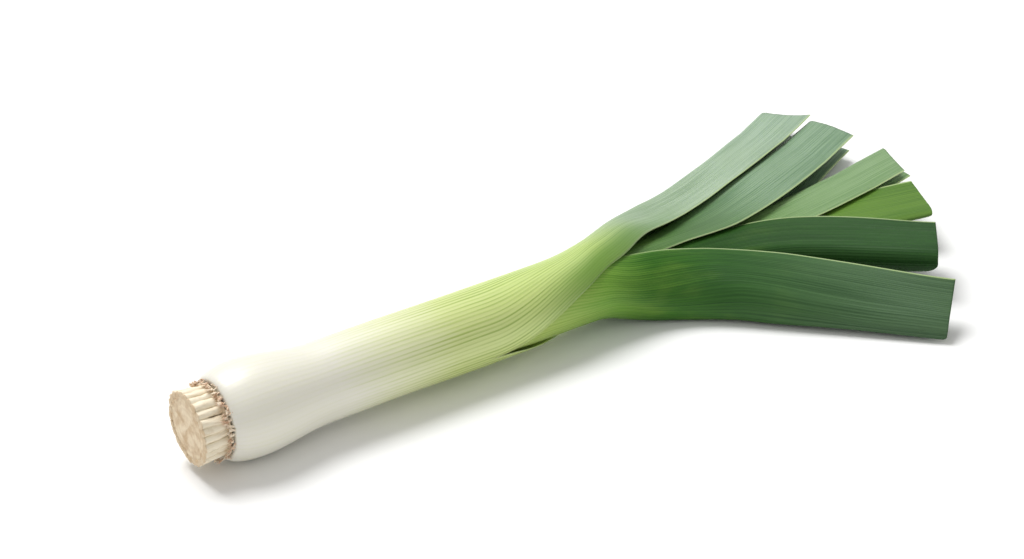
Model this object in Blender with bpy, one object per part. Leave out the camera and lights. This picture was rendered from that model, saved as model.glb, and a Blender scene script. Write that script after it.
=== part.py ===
"""A trimmed leek lying on its side.

The leek is built the way it grows.  A root plate carries a ring of cut root
stubs.  Six leaves stand on the plate, one inside the other.  Each leaf is a
closed tube for its lower part, the sheath, and the nested sheaths make the
white shaft.  Higher up each tube opens along the line opposite its keel, and
the leaf goes on as a blade folded in two along the keel.  Leaves grow in two
ranks, so the keels alternate between the far side (+Y) and the near side (-Y)
and the blades spread into a fan.

+X runs along the shaft from the roots to the leaf tips, +Z is up, and the
leek rests on z = 0.  Lengths are in metres.
"""

import math
from dataclasses import dataclass

import bmesh
import bpy
from mathutils import Vector

# Driving dimensions of the shaft.
BULB_RADIUS = 0.0205
SHAFT_RADIUS = 0.0170
COLLAR_RADIUS = 0.0160
AXIS_HEIGHT = BULB_RADIUS
BULB_PEAK = 0.0270
NECK_END = 0.0600
LEAF_START = 0.0125

# Root plate and root stubs.
PLATE_FACE_RADIUS = 0.0125
PLATE_WAIST_RADIUS = 0.0120
PLATE_RIM_RADIUS = 0.0155
PLATE_LENGTH = 0.0120
ROOT_COUNT = 26
ROOT_RING_RADIUS = 0.0144
ROOT_RADIUS = 0.00135
ROOT_LENGTH = 0.0112
ROOT_SIDES = 7
ROOT_SPLAY = math.radians(2.0)

# Leaf meshing: faces across a leaf and along it, and the runs they are shared between.
LEAF_ACROSS = 20
LEAF_ALONG = 28
MARGIN_THINNESS = 0.45
LEAF_STATIONS = (0.0, 0.12, 0.20, 0.28, 0.62, 1.0)

# The nest of leaves.  Each leaf lies one step inside the leaf that holds it, in
# the round shaft and on in the flattened fan, so no two leaves meet.
NEST_STEP = 0.0020
THROAT_LEAD_IN = 0.020
THROAT_START = 0.190
THROAT_END = 0.300
FAN_HALF_HEIGHT = 0.0125
TIP_HALF_HEIGHT = 0.0090
TIP_NEST_STEP = 0.0014
TIP_STRETCH = (0.300, 0.380)
RANK_ROLL = math.radians(28.0)
ROLL_START = 0.185
ROLL_END = 0.255

# The two outer edges of the fan in plan: a point on each edge and its heading.
NEAR_EDGE = (0.222, -0.019, math.radians(-41.0))
FAR_EDGE = (0.200, 0.016, math.radians(26.5))
EDGE_MARGIN = 0.005
EDGE_FLATNESS = 0.40
EDGE_BAND = 0.045
EDGE_STRETCH = (0.215, 0.300)

# The fan's middle surface is a ridged tent: it climbs from each edge, and each
# stretch is the part of the leek's length over which a feature of it comes in.
NEAR_EDGE_HEIGHT = 0.0040
NEAR_TIP_HEIGHT = 0.0020
NEAR_SLOPE_AT_THROAT = 0.75
NEAR_SLOPE_AT_TIPS = 0.50
NEAR_STRETCH = (0.240, 0.340)
FAR_EDGE_HEIGHT = 0.0025
FAR_SLOPE = 0.10
FAR_STRETCH = (0.205, 0.365)
RIDGE_ROUNDING = 0.0030
RIDGE_STRETCH = (0.195, 0.250)

# Each half of a leaf counts from 0 at its keel to 1 at its margin.  The rounded
# keel takes up this share of the half, in the round sheath and in the folded blade.
SHEATH_KEEL_SHARE = 0.50
BLADE_KEEL_SHARE = 0.25
BACK_CUT_SHARE = 1.0 / 3.0
CREASE_ANGLE = math.radians(40.0)


@dataclass(frozen=True)
class Leaf:
    """One leaf: a tubular sheath that opens into a blade folded at the keel.

    Rank is 1 for a keel on the far side and -1 for the near side.  Nest counts
    the leaves that hold this one.  Runs such as opens_at are measured along the
    leaf from the root face, and the heading is in degrees from +X.
    """

    name: str
    rank: int
    nest: int
    opens_at: float
    full_open: float
    fold_start: float
    fold_end: float
    bend_start: float
    bend_end: float
    heading: float
    length: float
    base_width: float
    tip_width: float
    front_beyond: float
    wrap: float = 0.68
    fold_radius: float = 0.0050
    back_beyond: float = -0.010
    back_extra: float = 0.001
    belly: float = 0.0
    wall: float = 0.0011
    colour: tuple = (0.30, 0.46, 0.26, 1.0)


LEAVES = (
    Leaf("outer_leaf_far", 1, 0, 0.136, 0.202, 0.200, 0.262, 0.168, 0.229, 27.0,
         0.410, 0.0258, 0.0302, -0.007, wrap=0.59, belly=-0.0004, back_extra=-0.0040),
    Leaf("outer_leaf_near", -1, 1, 0.162, 0.214, 0.200, 0.280, 0.187, 0.266, -44.2,
         0.347, 0.0249, 0.0222, 0.002, wrap=0.56, belly=0.0025, back_extra=0.0020),
    Leaf("second_leaf_far", 1, 2, 0.174, 0.222, 0.208, 0.280, 0.206, 0.244, 23.0,
         0.410, 0.0268, 0.0322, -0.016, wrap=0.55, belly=0.0036, back_extra=-0.0040),
    Leaf("second_leaf_near", -1, 3, 0.185, 0.232, 0.220, 0.300, 0.222, 0.340, -46.0,
         0.358, 0.0220, 0.0297, -0.003, wrap=0.55, belly=0.0075, back_extra=0.0000),
    Leaf("third_leaf_far", 1, 4, 0.190, 0.236, 0.228, 0.310, 0.222, 0.244, 9.0,
         0.403, 0.0185, 0.0268, -0.018, wrap=0.55, belly=0.0038, back_extra=-0.0020),
    Leaf("heart_leaf", -1, 5, 0.200, 0.246, 0.240, 0.335, 0.235, 0.340, -17.7,
         0.372, 0.0135, 0.0332, 0.005, wrap=0.55, belly=0.0080, back_extra=0.0000),
)


def smooth_step(value):
    """Ease from 0 to 1 as value runs from 0 to 1, flat outside."""
    value = min(max(value, 0.0), 1.0)
    return value * value * (3.0 - 2.0 * value)


def span_share(value, start, end):
    """Give the smooth share of the way that value lies from start to end."""
    return smooth_step((value - start) / (end - start))


def mix(first, second, share):
    """Blend two numbers."""
    return first + (second - first) * share


def shaft_radius(x):
    """Give the outer radius of the whole shaft at distance x from the root face."""
    if x < BULB_PEAK:
        share = min(max((x - LEAF_START) / (BULB_PEAK - LEAF_START), 0.0), 1.0)
        return mix(COLLAR_RADIUS, BULB_RADIUS, math.sqrt(share * (2.0 - share)))
    return mix(BULB_RADIUS, SHAFT_RADIUS, span_share(x, BULB_PEAK, NECK_END))


def edge_distance(x, y, edge, rank):
    """Give how far a point of the plan lies inside one edge of the fan."""
    start_x, start_y, heading = edge
    return rank * ((x - start_x) * math.sin(heading) - (y - start_y) * math.cos(heading))


def fan_shape(x, y):
    """Give the fan's middle height, half height, flattening and nest step at a plan point."""
    near = max(edge_distance(x, y, NEAR_EDGE, -1), -EDGE_MARGIN)
    far = max(edge_distance(x, y, FAR_EDGE, 1), -EDGE_MARGIN)
    slope = mix(NEAR_SLOPE_AT_THROAT, NEAR_SLOPE_AT_TIPS, span_share(x, *NEAR_STRETCH))
    thin = span_share(x, *TIP_STRETCH)
    near_face = mix(NEAR_EDGE_HEIGHT, NEAR_TIP_HEIGHT, thin) + slope * near
    descent = min(max((x - FAR_STRETCH[0]) / (FAR_STRETCH[1] - FAR_STRETCH[0]), 0.0), 1.0)
    far_face = mix(AXIS_HEIGHT, FAR_EDGE_HEIGHT + FAR_SLOPE * far, descent)
    half_gap = (near_face - far_face) / 2.0
    ridge = (near_face + far_face) / 2.0 - math.hypot(half_gap, RIDGE_ROUNDING)
    middle = mix(AXIS_HEIGHT, ridge, span_share(x, *RIDGE_STRETCH))
    full_height = mix(SHAFT_RADIUS, FAN_HALF_HEIGHT, span_share(x, THROAT_START, THROAT_END))
    half_height = mix(full_height, TIP_HALF_HEIGHT, thin)
    thin_edge = mix(EDGE_FLATNESS, 1.0, smooth_step(min(near, far) / EDGE_BAND))
    flatness = mix(1.0, thin_edge, span_share(x, *EDGE_STRETCH))
    middle += (full_height - half_height) * flatness
    return middle, half_height, flatness, mix(NEST_STEP, TIP_NEST_STEP, thin)


def keel_path(leaf, travel):
    """Give the plan position and heading of the leaf's axis after a run along it."""
    steps = 60
    step = (travel - LEAF_START) / steps
    x = LEAF_START
    y = 0.0
    for index in range(steps):
        middle = LEAF_START + (index + 0.5) * step
        angle = math.radians(leaf.heading) * span_share(middle, leaf.bend_start, leaf.bend_end)
        x += math.cos(angle) * step
        y += math.sin(angle) * step
    angle = math.radians(leaf.heading) * span_share(travel, leaf.bend_start, leaf.bend_end)
    return x, y, angle


def leaf_point(leaf, side, travel):
    """Give a point of the leaf's outer face.

    Side runs from -1 at the back margin over 0 at the keel to 1 at the front
    margin, and travel is the run along the leaf from the root face.
    """
    radius = shaft_radius(travel) * (1.0 - leaf.nest * NEST_STEP / SHAFT_RADIUS)
    fold = span_share(travel, leaf.fold_start, leaf.fold_end)
    reach = abs(side)
    # The round sheath, whose margins draw apart as it opens.
    turn = reach * math.pi * mix(1.0, leaf.wrap, span_share(travel, leaf.opens_at, leaf.full_open))
    sheath_across = radius * (1.0 - math.cos(turn))
    sheath_rise = math.sin(turn)
    # The folded blade: a quarter turn at the keel and a flat half behind it.
    fold_radius = mix(radius, leaf.fold_radius, fold)
    taper = span_share(travel, leaf.full_open, leaf.length)
    width = mix(leaf.base_width, leaf.tip_width, taper) + 4.0 * leaf.belly * taper * (1.0 - taper)
    if side < 0.0:
        width += leaf.back_extra * taper
    keel_share = mix(SHEATH_KEEL_SHARE, BLADE_KEEL_SHARE, fold)
    keel_turn = math.pi / 2.0 * min(reach / keel_share, 1.0)
    flat_share = max(reach - keel_share, 0.0) / (1.0 - keel_share)
    flat_length = max(width - fold_radius, 0.0)
    blade_across = fold_radius * (1.0 - math.cos(keel_turn)) + flat_length * flat_share
    blade_rise = math.sin(keel_turn)
    across = mix(sheath_across, blade_across, fold)
    rise = math.copysign(mix(sheath_rise, blade_rise, fold), side)
    x, y, angle = keel_path(leaf, travel)
    x += math.sin(angle) * leaf.rank * across
    y += leaf.rank * (radius - math.cos(angle) * across)
    middle, half_height, flatness, nest_step = fan_shape(x, y)
    in_fan = span_share(travel, THROAT_START - THROAT_LEAD_IN, THROAT_START)
    height = mix(radius, half_height - leaf.nest * nest_step, in_fan) * flatness * rise
    roll = RANK_ROLL * (1.0 - span_share(x, ROLL_START, ROLL_END))
    return Vector((
        x,
        y * math.cos(roll) - height * math.sin(roll),
        y * math.sin(roll) + height * math.cos(roll) + middle,
    ))


def leaf_travel(leaf, side, share):
    """Give the run along the leaf at a share of its length, with the slanted cut."""
    runs = (LEAF_START, BULB_PEAK, NECK_END, leaf.opens_at, leaf.fold_end, leaf.length)
    run = leaf.length
    for index, end in enumerate(LEAF_STATIONS[1:]):
        if share < end:
            start = LEAF_STATIONS[index]
            run = mix(runs[index], runs[index + 1], (share - start) / (end - start))
            break
    back = smooth_step(-side / BACK_CUT_SHARE)
    beyond = leaf.front_beyond * max(side, 0.0) + leaf.back_beyond * back
    past = max(run - leaf.fold_end, 0.0) / (leaf.length - leaf.fold_end)
    return run + beyond * past


def make_material(name, colour, roughness):
    """Make a plain Principled BSDF material."""
    material = bpy.data.materials.new(name)
    material.use_nodes = True
    shader = material.node_tree.nodes["Principled BSDF"]
    shader.inputs["Base Color"].default_value = colour
    shader.inputs["Roughness"].default_value = roughness
    shader.inputs["Metallic"].default_value = 0.0
    return material


def add_object(name, mesh_builder, material, parent):
    """Wrap a finished bmesh in an object with its own material."""
    mesh = bpy.data.meshes.new(name)
    mesh_builder.to_mesh(mesh)
    mesh_builder.free()
    mesh.materials.append(material)
    mesh.shade_smooth()
    mesh.set_sharp_from_angle(angle=CREASE_ANGLE)
    piece = bpy.data.objects.new(name, mesh)
    piece.parent = parent
    bpy.context.scene.collection.objects.link(piece)
    return piece


def build_leaf(leaf, parent):
    """Bend a grid into the leaf's outer face and give it its wall."""
    sheet = bmesh.new()
    bmesh.ops.create_grid(sheet, x_segments=LEAF_ACROSS, y_segments=LEAF_ALONG, size=1.0)
    flesh = sheet.verts.layers.deform.new()
    for vertex in sheet.verts:
        side = vertex.co.x
        share = (vertex.co.y + 1.0) / 2.0
        travel = leaf_travel(leaf, side, share)
        vertex.co = leaf_point(leaf, side, travel)
        at_margin = abs(side) > 0.99 and travel > leaf.opens_at
        vertex[flesh][0] = 0.0 if at_margin else 1.0
    bmesh.ops.remove_doubles(sheet, verts=sheet.verts, dist=0.00002)
    if leaf.rank < 0:
        bmesh.ops.reverse_faces(sheet, faces=sheet.faces)
    material = make_material(leaf.name, leaf.colour, 0.55)
    piece = add_object(leaf.name, sheet, material, parent)
    piece.vertex_groups.new(name="flesh")
    wall = piece.modifiers.new("wall", "SOLIDIFY")
    wall.thickness = leaf.wall
    wall.vertex_group = "flesh"
    wall.thickness_vertex_group = MARGIN_THINNESS
    wall.offset = -1.0
    wall.use_even_offset = True
    return piece


def build_root_plate(parent):
    """Turn the root plate: a flat cut face, a slim waist and a rim under the leaves."""
    plate = bmesh.new()
    outline = (
        (0.0, 0.0),
        (0.0, PLATE_FACE_RADIUS),
        (PLATE_LENGTH * 0.45, PLATE_WAIST_RADIUS),
        (PLATE_LENGTH * 0.92, PLATE_WAIST_RADIUS),
        (PLATE_LENGTH * 0.95, PLATE_RIM_RADIUS),
        (PLATE_LENGTH, PLATE_RIM_RADIUS),
        (PLATE_LENGTH, 0.0),
    )
    corners = [plate.verts.new((x, 0.0, radius)) for x, radius in outline]
    edges = [plate.edges.new(pair) for pair in zip(corners, corners[1:])]
    bmesh.ops.spin(plate, geom=corners + edges, cent=(0.0, 0.0, 0.0), axis=(1.0, 0.0, 0.0),
                   angle=math.tau, steps=24, use_merge=True)
    bmesh.ops.remove_doubles(plate, verts=plate.verts, dist=0.00001)
    bmesh.ops.recalc_face_normals(plate, faces=plate.faces)
    bmesh.ops.translate(plate, verts=plate.verts, vec=(0.0, 0.0, AXIS_HEIGHT))
    material = make_material("root_plate", (0.76, 0.64, 0.46, 1.0), 0.85)
    return add_object("root_plate", plate, material, parent)


def build_roots(parent):
    """Stand the cut root stubs in a ring around the plate's waist."""
    for index in range(ROOT_COUNT):
        stub = bmesh.new()
        bmesh.ops.create_cone(stub, cap_ends=True, segments=ROOT_SIDES, radius1=ROOT_RADIUS,
                              radius2=ROOT_RADIUS * 0.9, depth=ROOT_LENGTH)
        bmesh.ops.translate(stub, verts=stub.verts, vec=(0.0, 0.0, ROOT_LENGTH / 2.0))
        material = make_material(f"root_{index + 1:02d}", (0.90, 0.82, 0.66, 1.0), 0.8)
        piece = add_object(f"root_{index + 1:02d}", stub, material, parent)
        around = math.tau * index / ROOT_COUNT
        outward = Vector((0.0, math.sin(around), math.cos(around)))
        piece.location = outward * ROOT_RING_RADIUS + Vector((0.0, 0.0, AXIS_HEIGHT))
        lean = Vector((math.cos(ROOT_SPLAY), 0.0, 0.0)) - outward * math.sin(ROOT_SPLAY)
        piece.rotation_mode = "QUATERNION"
        piece.rotation_quaternion = lean.to_track_quat("Z", "Y")


def centre_over_footprint(parent):
    """Move the whole leek so that its bounding box stands centred on the origin."""
    bpy.context.view_layer.update()
    depsgraph = bpy.context.evaluated_depsgraph_get()
    corners = []
    for piece in parent.children:
        solid = piece.evaluated_get(depsgraph)
        corners += [solid.matrix_world @ vertex.co for vertex in solid.data.vertices]
    low = Vector([min(corner[axis] for corner in corners) for axis in range(3)])
    high = Vector([max(corner[axis] for corner in corners) for axis in range(3)])
    parent.location = -(low + high) / 2.0
    parent.location.z = -low.z


def main():
    """Build the leek from its roots to its innermost leaf."""
    for item in list(bpy.data.objects):
        bpy.data.objects.remove(item, do_unlink=True)
    leek = bpy.data.objects.new("leek", None)
    bpy.context.scene.collection.objects.link(leek)
    build_root_plate(leek)
    build_roots(leek)
    for leaf in LEAVES:
        build_leaf(leaf, leek)
    centre_over_footprint(leek)


main()
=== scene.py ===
"""The looks of a trimmed leek lying on its side.

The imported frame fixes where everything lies.  Six folded leaves, a root plate
and a ring of root stubs stand for the frame's plain solids, each with the
finer form and the finish of the real thing.  A ring of dried scales at the
collar is added.  Lengths are in metres, +X runs from the roots to the leaf
tips, and the leek rests on z = 0.
"""

import logging
import math
import random
from collections.abc import Callable
from dataclasses import dataclass, field
from enum import Enum

import bmesh
import bpy
from mathutils import Matrix, Vector, noise


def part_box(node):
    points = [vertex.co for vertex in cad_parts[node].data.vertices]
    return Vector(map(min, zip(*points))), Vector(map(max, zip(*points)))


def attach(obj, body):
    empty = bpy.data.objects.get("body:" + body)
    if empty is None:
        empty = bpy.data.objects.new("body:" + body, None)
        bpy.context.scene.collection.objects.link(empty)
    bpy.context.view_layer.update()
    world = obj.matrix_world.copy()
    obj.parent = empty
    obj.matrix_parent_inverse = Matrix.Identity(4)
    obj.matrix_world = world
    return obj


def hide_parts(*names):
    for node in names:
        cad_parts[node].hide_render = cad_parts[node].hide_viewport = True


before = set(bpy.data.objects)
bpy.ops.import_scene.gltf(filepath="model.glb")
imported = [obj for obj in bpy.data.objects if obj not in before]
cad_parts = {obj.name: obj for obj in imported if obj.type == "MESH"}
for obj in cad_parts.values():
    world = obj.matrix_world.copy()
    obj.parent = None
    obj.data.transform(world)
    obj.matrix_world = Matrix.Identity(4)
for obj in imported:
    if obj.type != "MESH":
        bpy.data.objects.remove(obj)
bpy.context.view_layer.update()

BODY = "root"
LOG = logging.getLogger("leek")
# Points closer than this become one.
WELD = 0.00002
# A point further out than this side lies on a leaf's margin.
MARGIN_SIDE = 0.999

Colour = tuple[float, float, float]
Span = tuple[float, float]
Stops = tuple[tuple[float, Colour], ...]
Socket = bpy.types.NodeSocket
Material = bpy.types.Material
Object = bpy.types.Object
BMesh = bmesh.types.BMesh

# The run along the leaf that the whole of its own map stands for.
FULL_RUN = 0.420
# What every leaf looks like at its foot: the skin, then the veins.
IVORY = (0.78, 0.76, 0.66)
IVORY_VEIN = (0.77, 0.75, 0.62)


# --- Plain sums ---


def smooth_step(value: float) -> float:
    """Ease from 0 to 1 as value runs from 0 to 1, flat outside."""
    value = min(max(value, 0.0), 1.0)
    return value * value * (3.0 - 2.0 * value)


def span_share(value: float, start: float, end: float) -> float:
    """Give the smooth share of the way that value lies from start to end."""
    return smooth_step((value - start) / (end - start))


def mix(first: float, second: float, share: float) -> float:
    """Blend two numbers."""
    return first + (second - first) * share


# --- Materials ---


def operator(operation: str, turned: bool = False) -> Callable[["Field", object], "Field"]:
    """Make one of Field's operators, turned if the other value comes first."""

    def apply(own: "Field", other: "Field | float") -> "Field":
        """Add the operator's Math node."""
        return own.math(operation, *((other, own) if turned else (own, other)))

    return apply


class Field:
    """A value that changes over a surface, with Python's operators as Math nodes."""

    def __init__(self, graph: "Graph", socket: Socket) -> None:
        """Wrap an output socket of a material's graph."""
        self.graph = graph
        self.socket = socket

    def math(self, operation: str, first: "Field | float", second: "Field | float") -> "Field":
        """Add one Math node and wrap its result."""
        made = self.graph.node("ShaderNodeMath", {"operation": operation}, {0: first, 1: second})
        return Field(self.graph, made.outputs[0])

    __add__ = operator("ADD")
    __radd__ = operator("ADD", turned=True)
    __sub__ = operator("SUBTRACT")
    __rsub__ = operator("SUBTRACT", turned=True)
    __mul__ = operator("MULTIPLY")
    __rmul__ = operator("MULTIPLY", turned=True)
    __pow__ = operator("POWER")

    def waves(self) -> "Field":
        """Give the sine, brought into the range 0 to 1."""
        return self.math("SINE", self, 0.0) * 0.5 + 0.5

    def size(self) -> "Field":
        """Give the value without its sign."""
        return self.math("ABSOLUTE", self, 0.0)

    def eased(self, start: float, end: float, low: float = 0.0, high: float = 1.0) -> "Field":
        """Ease from low to high as the value runs from start to end.

        Args:
            start: Where the value gives low.
            end: Where the value gives high.
            low: The result at and before start.
            high: The result at and past end.

        Returns:
            The eased value.
        """
        made = self.graph.node(
            "ShaderNodeMapRange",
            {"interpolation_type": "SMOOTHSTEP"},
            {"Value": self, "From Min": start, "From Max": end, "To Min": low, "To Max": high},
        )
        return Field(self.graph, made.outputs["Result"])


class Graph:
    """A material's nodes around one Principled BSDF."""

    def __init__(self, name: str) -> None:
        """Start a material with only its shader and output."""
        self.material = bpy.data.materials.new(name)
        self.material.use_nodes = True
        self.tree = self.material.node_tree
        self.shader = self.tree.nodes["Principled BSDF"]

    def node(
        self,
        kind: str,
        settings: dict[str, object] | None = None,
        sockets: dict[str | int, object] | None = None,
    ) -> bpy.types.Node:
        """Add one node.

        Args:
            kind: The node's type.
            settings: Properties to set first.  The key stops fills a colour ramp.
            sockets: Values or links for the inputs, by name or place.

        Returns:
            The new node.
        """
        made = self.tree.nodes.new(kind)
        for name, value in (settings or {}).items():
            if name == "stops":
                self._fill_ramp(made.color_ramp, value)
            else:
                setattr(made, name, value)
        for name, value in (sockets or {}).items():
            self.feed(made.inputs[name], value)
        return made

    def feed(self, socket: Socket, value: object) -> None:
        """Give an input a link or a constant."""
        if isinstance(value, Field):
            self.tree.links.new(value.socket, socket)
        elif isinstance(value, Socket):
            self.tree.links.new(value, socket)
        elif isinstance(value, tuple) and len(value) == 3 and len(socket.default_value) == 4:
            socket.default_value = (*value, 1.0)
        else:
            socket.default_value = value

    def _fill_ramp(self, ramp: bpy.types.ColorRamp, stops: Stops) -> None:
        """Set a colour ramp's stops, in rising order."""
        while len(ramp.elements) < len(stops):
            ramp.elements.new(1.0)
        for element, (place, colour) in zip(ramp.elements, stops):
            element.position = place
            element.color = (*colour, 1.0)

    def set_constants(self, **values: object) -> None:
        """Set the shader's own sockets, named with underscores for spaces."""
        for name, value in values.items():
            self.feed(self.shader.inputs[name.replace("_", " ")], value)

    def skin_place(self) -> tuple[Field, Field]:
        """Give the place across the leaf and along it, from its own map."""
        mapped = self.node("ShaderNodeUVMap", {"uv_map": "skin"})
        parts = self.node("ShaderNodeSeparateXYZ", None, {"Vector": mapped.outputs["UV"]})
        return Field(self, parts.outputs["X"]), Field(self, parts.outputs["Y"])

    def object_place(self, shift: Vector) -> tuple[Socket, Field, Field, Field]:
        """Give the place in the object, measured from a chosen point.

        Args:
            shift: What is added to the place, as a Mapping node's location.

        Returns:
            The whole vector, then its X, Y and Z.
        """
        read = self.node("ShaderNodeTexCoord").outputs["Object"]
        moved = self.node("ShaderNodeMapping", None, {"Vector": read, "Location": shift})
        parts = self.node("ShaderNodeSeparateXYZ", None, {"Vector": moved.outputs["Vector"]})
        xyz = [Field(self, parts.outputs[axis]) for axis in "XYZ"]
        return moved.outputs["Vector"], *xyz

    def vector(self, x: object, y: object, z: object = 0.0) -> Socket:
        """Join three values into a vector."""
        return self.node("ShaderNodeCombineXYZ", None, {"X": x, "Y": y, "Z": z}).outputs["Vector"]

    def grain(self, place: object, scale: float = 1.0, detail: float = 2.0,
              roughness: float = 0.5) -> Field:
        """Give a noise field in the range 0 to 1."""
        made = self.node(
            "ShaderNodeTexNoise",
            {"noise_dimensions": "3D"},
            {"Vector": place, "Scale": scale, "Detail": detail, "Roughness": roughness},
        )
        return Field(self, made.outputs["Fac"])

    def ramp(self, place: Field, stops: Stops) -> Socket:
        """Give the colour at a place of a ramp."""
        settings = {"stops": stops}
        return self.node("ShaderNodeValToRGB", settings, {"Fac": place}).outputs["Color"]

    def blend(self, share: object, first: object, second: object) -> Socket:
        """Mix two colours."""
        made = self.node("ShaderNodeMix", {"data_type": "RGBA"}, {0: share, 6: first, 7: second})
        return made.outputs[2]

    def relief(self, height: Field, distance: float, strength: float) -> Socket:
        """Give the normal of a raised pattern."""
        made = self.node(
            "ShaderNodeBump", None, {"Height": height, "Distance": distance, "Strength": strength}
        )
        return made.outputs["Normal"]


@dataclass(frozen=True)
class LeafFinish:
    """The skin of a leaf: green blade, pale sheath, veins and waxy bloom.

    A stop holds a share of FULL_RUN, the skin's colour there and the veins'.
    Every place along the leaf is such a share.  Bands run from 0 at the keel to
    1 at the margin.
    """

    name: str
    stops: tuple[tuple[float, Colour, Colour], ...]
    bloom_colour: Colour
    bloom: float
    bloom_span: Span = (0.50, 0.62)
    veins: float = 29.0
    vein_depth: float = 0.75
    streak_depth: float = 0.45
    patch_depth: float = 0.25
    patch_colour: Colour = (0.20, 0.34, 0.05)
    patch_span: Span = (0.60, 0.80)
    patch_lead_in: float = 0.12
    # The margin strip is a dark green band inside the front margin at the throat: partly the thin
    # margin's greener skin, partly painted shade of the crease where the sheath flares and curves
    # under.
    margin_green_and_shade: float = 0.0
    margin_green_and_shade_colour: Colour = (0.11, 0.25, 0.01)
    margin_span: Span = (0.40, 0.60)
    margin_band: Span = (0.50, 0.85)
    margin_fade: Span = (0.55, 0.68)
    blade_span: Span = (0.42, 0.60)
    blade_streaks: float = 0.62
    edge_band: Span = (0.966, 0.990)
    edge_line: float = 0.75
    edge_colour: Colour = (0.46, 0.60, 0.28)
    gloss: float = 0.55
    gloss_roughness: float = 0.40
    relief_span: Span = (0.12, 0.32)
    relief_depth: float = 0.00022
    relief_strength: float = 0.55

    def make(self) -> Material:
        """Build the material, which reads the leaf's own map."""
        graph = Graph(self.name)
        across, along = graph.skin_place()
        side = across * 2.0 - 1.0

        def grain(crosswise: float, lengthwise: float, detail: float, rough: float = 0.5) -> Field:
            """Give noise that is as fine across the leaf and along it as asked."""
            place = graph.vector(across * crosswise, along * lengthwise)
            return graph.grain(place, 1.0, detail, rough)

        wander = grain(3.0, 9.0, 2.0) - 0.5
        lines = ((side + wander * 0.012) * (math.pi * 2.0 * self.veins)).waves() ** 1.6
        broken = grain(95.0, 5.0, 3.0, 0.6)
        fine = grain(260.0, 12.0, 3.0, 0.65)
        bands = grain(14.0, 3.0, 2.0)
        patches = grain(5.0, 14.0, 3.0)
        # Green runs further down the leaf along some veins than along others.
        run = along + (bands - 0.5) * 0.05 + (lines - 0.5) * 0.012 + wander * 0.03
        vein_mask = lines * broken.eased(0.25, 0.62, 0.35, 1.0) * self.vein_depth
        streak_mask = broken.eased(0.42, 0.72) * self.streak_depth
        dark = (vein_mask * 0.6 + streak_mask * 0.5 + (fine - 0.5) * 0.5).eased(0.0, 1.0)
        places, skins, veins = zip((0.0, IVORY, IVORY_VEIN), *self.stops)
        vein_stops = tuple(zip(places, veins))
        skin_colour = graph.ramp(run, tuple(zip(places, skins)))
        colour = graph.blend(dark, skin_colour, graph.ramp(run, vein_stops))
        patch_zone = along.eased(*self.patch_span, 1.0, 0.0)
        patch_start = self.patch_span[0]
        patch_zone *= along.eased(patch_start - self.patch_lead_in, patch_start)
        patch_mask = patches.eased(0.48, 0.70) * patch_zone * self.patch_depth
        colour = graph.blend(patch_mask, colour, self.patch_colour)
        # Dark green strip inside the front margin at the throat: partly greener skin, partly
        # painted shade of the crease where the sheath curves under.
        margin_green_and_shade_zone = side.eased(*self.margin_band) * along.eased(*self.margin_span)
        margin_green_and_shade_zone *= along.eased(*self.margin_fade, 1.0, 0.0)
        colour = graph.blend(margin_green_and_shade_zone * self.margin_green_and_shade, colour, self.margin_green_and_shade_colour)
        bloom_mask = along.eased(*self.bloom_span) * self.bloom
        bloom_mask *= patches.eased(0.25, 0.75, 0.72, 1.0)
        bloom_mask = bloom_mask * (1.0 - dark * 0.45) * broken.eased(0.2, 0.8, 1.0, 0.8)
        colour = graph.blend(bloom_mask, colour, self.bloom_colour)
        blade = along.eased(*self.blade_span)
        streaks = (broken * 0.45 + bands * 0.30 + fine * 0.25).eased(0.44, 0.58)
        streaks = streaks * blade * self.blade_streaks
        colour = graph.blend(streaks, colour, graph.ramp(run, vein_stops))
        edge = side.size().eased(*self.edge_band) * blade * self.edge_line
        colour = graph.blend(edge, colour, self.edge_colour)
        height = lines * 0.5 + broken * 0.35 + fine * 0.25
        height *= along.eased(*self.relief_span, 0.25, 1.0)
        rough = self.gloss_roughness + (broken - 0.5) * 0.16 + bloom_mask * 0.12
        graph.set_constants(
            Base_Color=colour,
            Roughness=rough,
            Normal=graph.relief(height, self.relief_depth, self.relief_strength),
            Specular_IOR_Level=self.gloss,
            Subsurface_Weight=0.10,
            Subsurface_Radius=(0.0030, 0.0034, 0.0014),
            Subsurface_Scale=1.0,
        )
        return graph.material


@dataclass(frozen=True)
class CutFinish:
    """The bare flesh along a leaf's margins and its cut end."""

    name: str
    wet: Colour = (0.46, 0.58, 0.26)
    dry: Colour = (0.66, 0.74, 0.44)
    root_end: Colour = (0.78, 0.74, 0.62)
    root_end_fade: Span = (0.05, 0.15)

    def make(self, face_x: float) -> Material:
        """Build the material.

        Args:
            face_x: Where the root plate's cut face lies along X.

        Returns:
            The finished material.
        """
        graph = Graph(self.name)
        place, x, *_ = graph.object_place(Vector((-face_x, 0.0, 0.0)))
        cells = graph.grain(place, 900.0, 3.0, 0.6)
        colour = graph.blend(cells.eased(0.3, 0.7), self.wet, self.dry)
        near_root = x.eased(*self.root_end_fade, 1.0, 0.0)
        graph.set_constants(
            Base_Color=graph.blend(near_root, colour, self.root_end),
            Roughness=cells.eased(0.2, 0.8, 0.45, 0.65),
            Normal=graph.relief(cells, 0.0001, 0.4),
        )
        return graph.material


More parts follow.
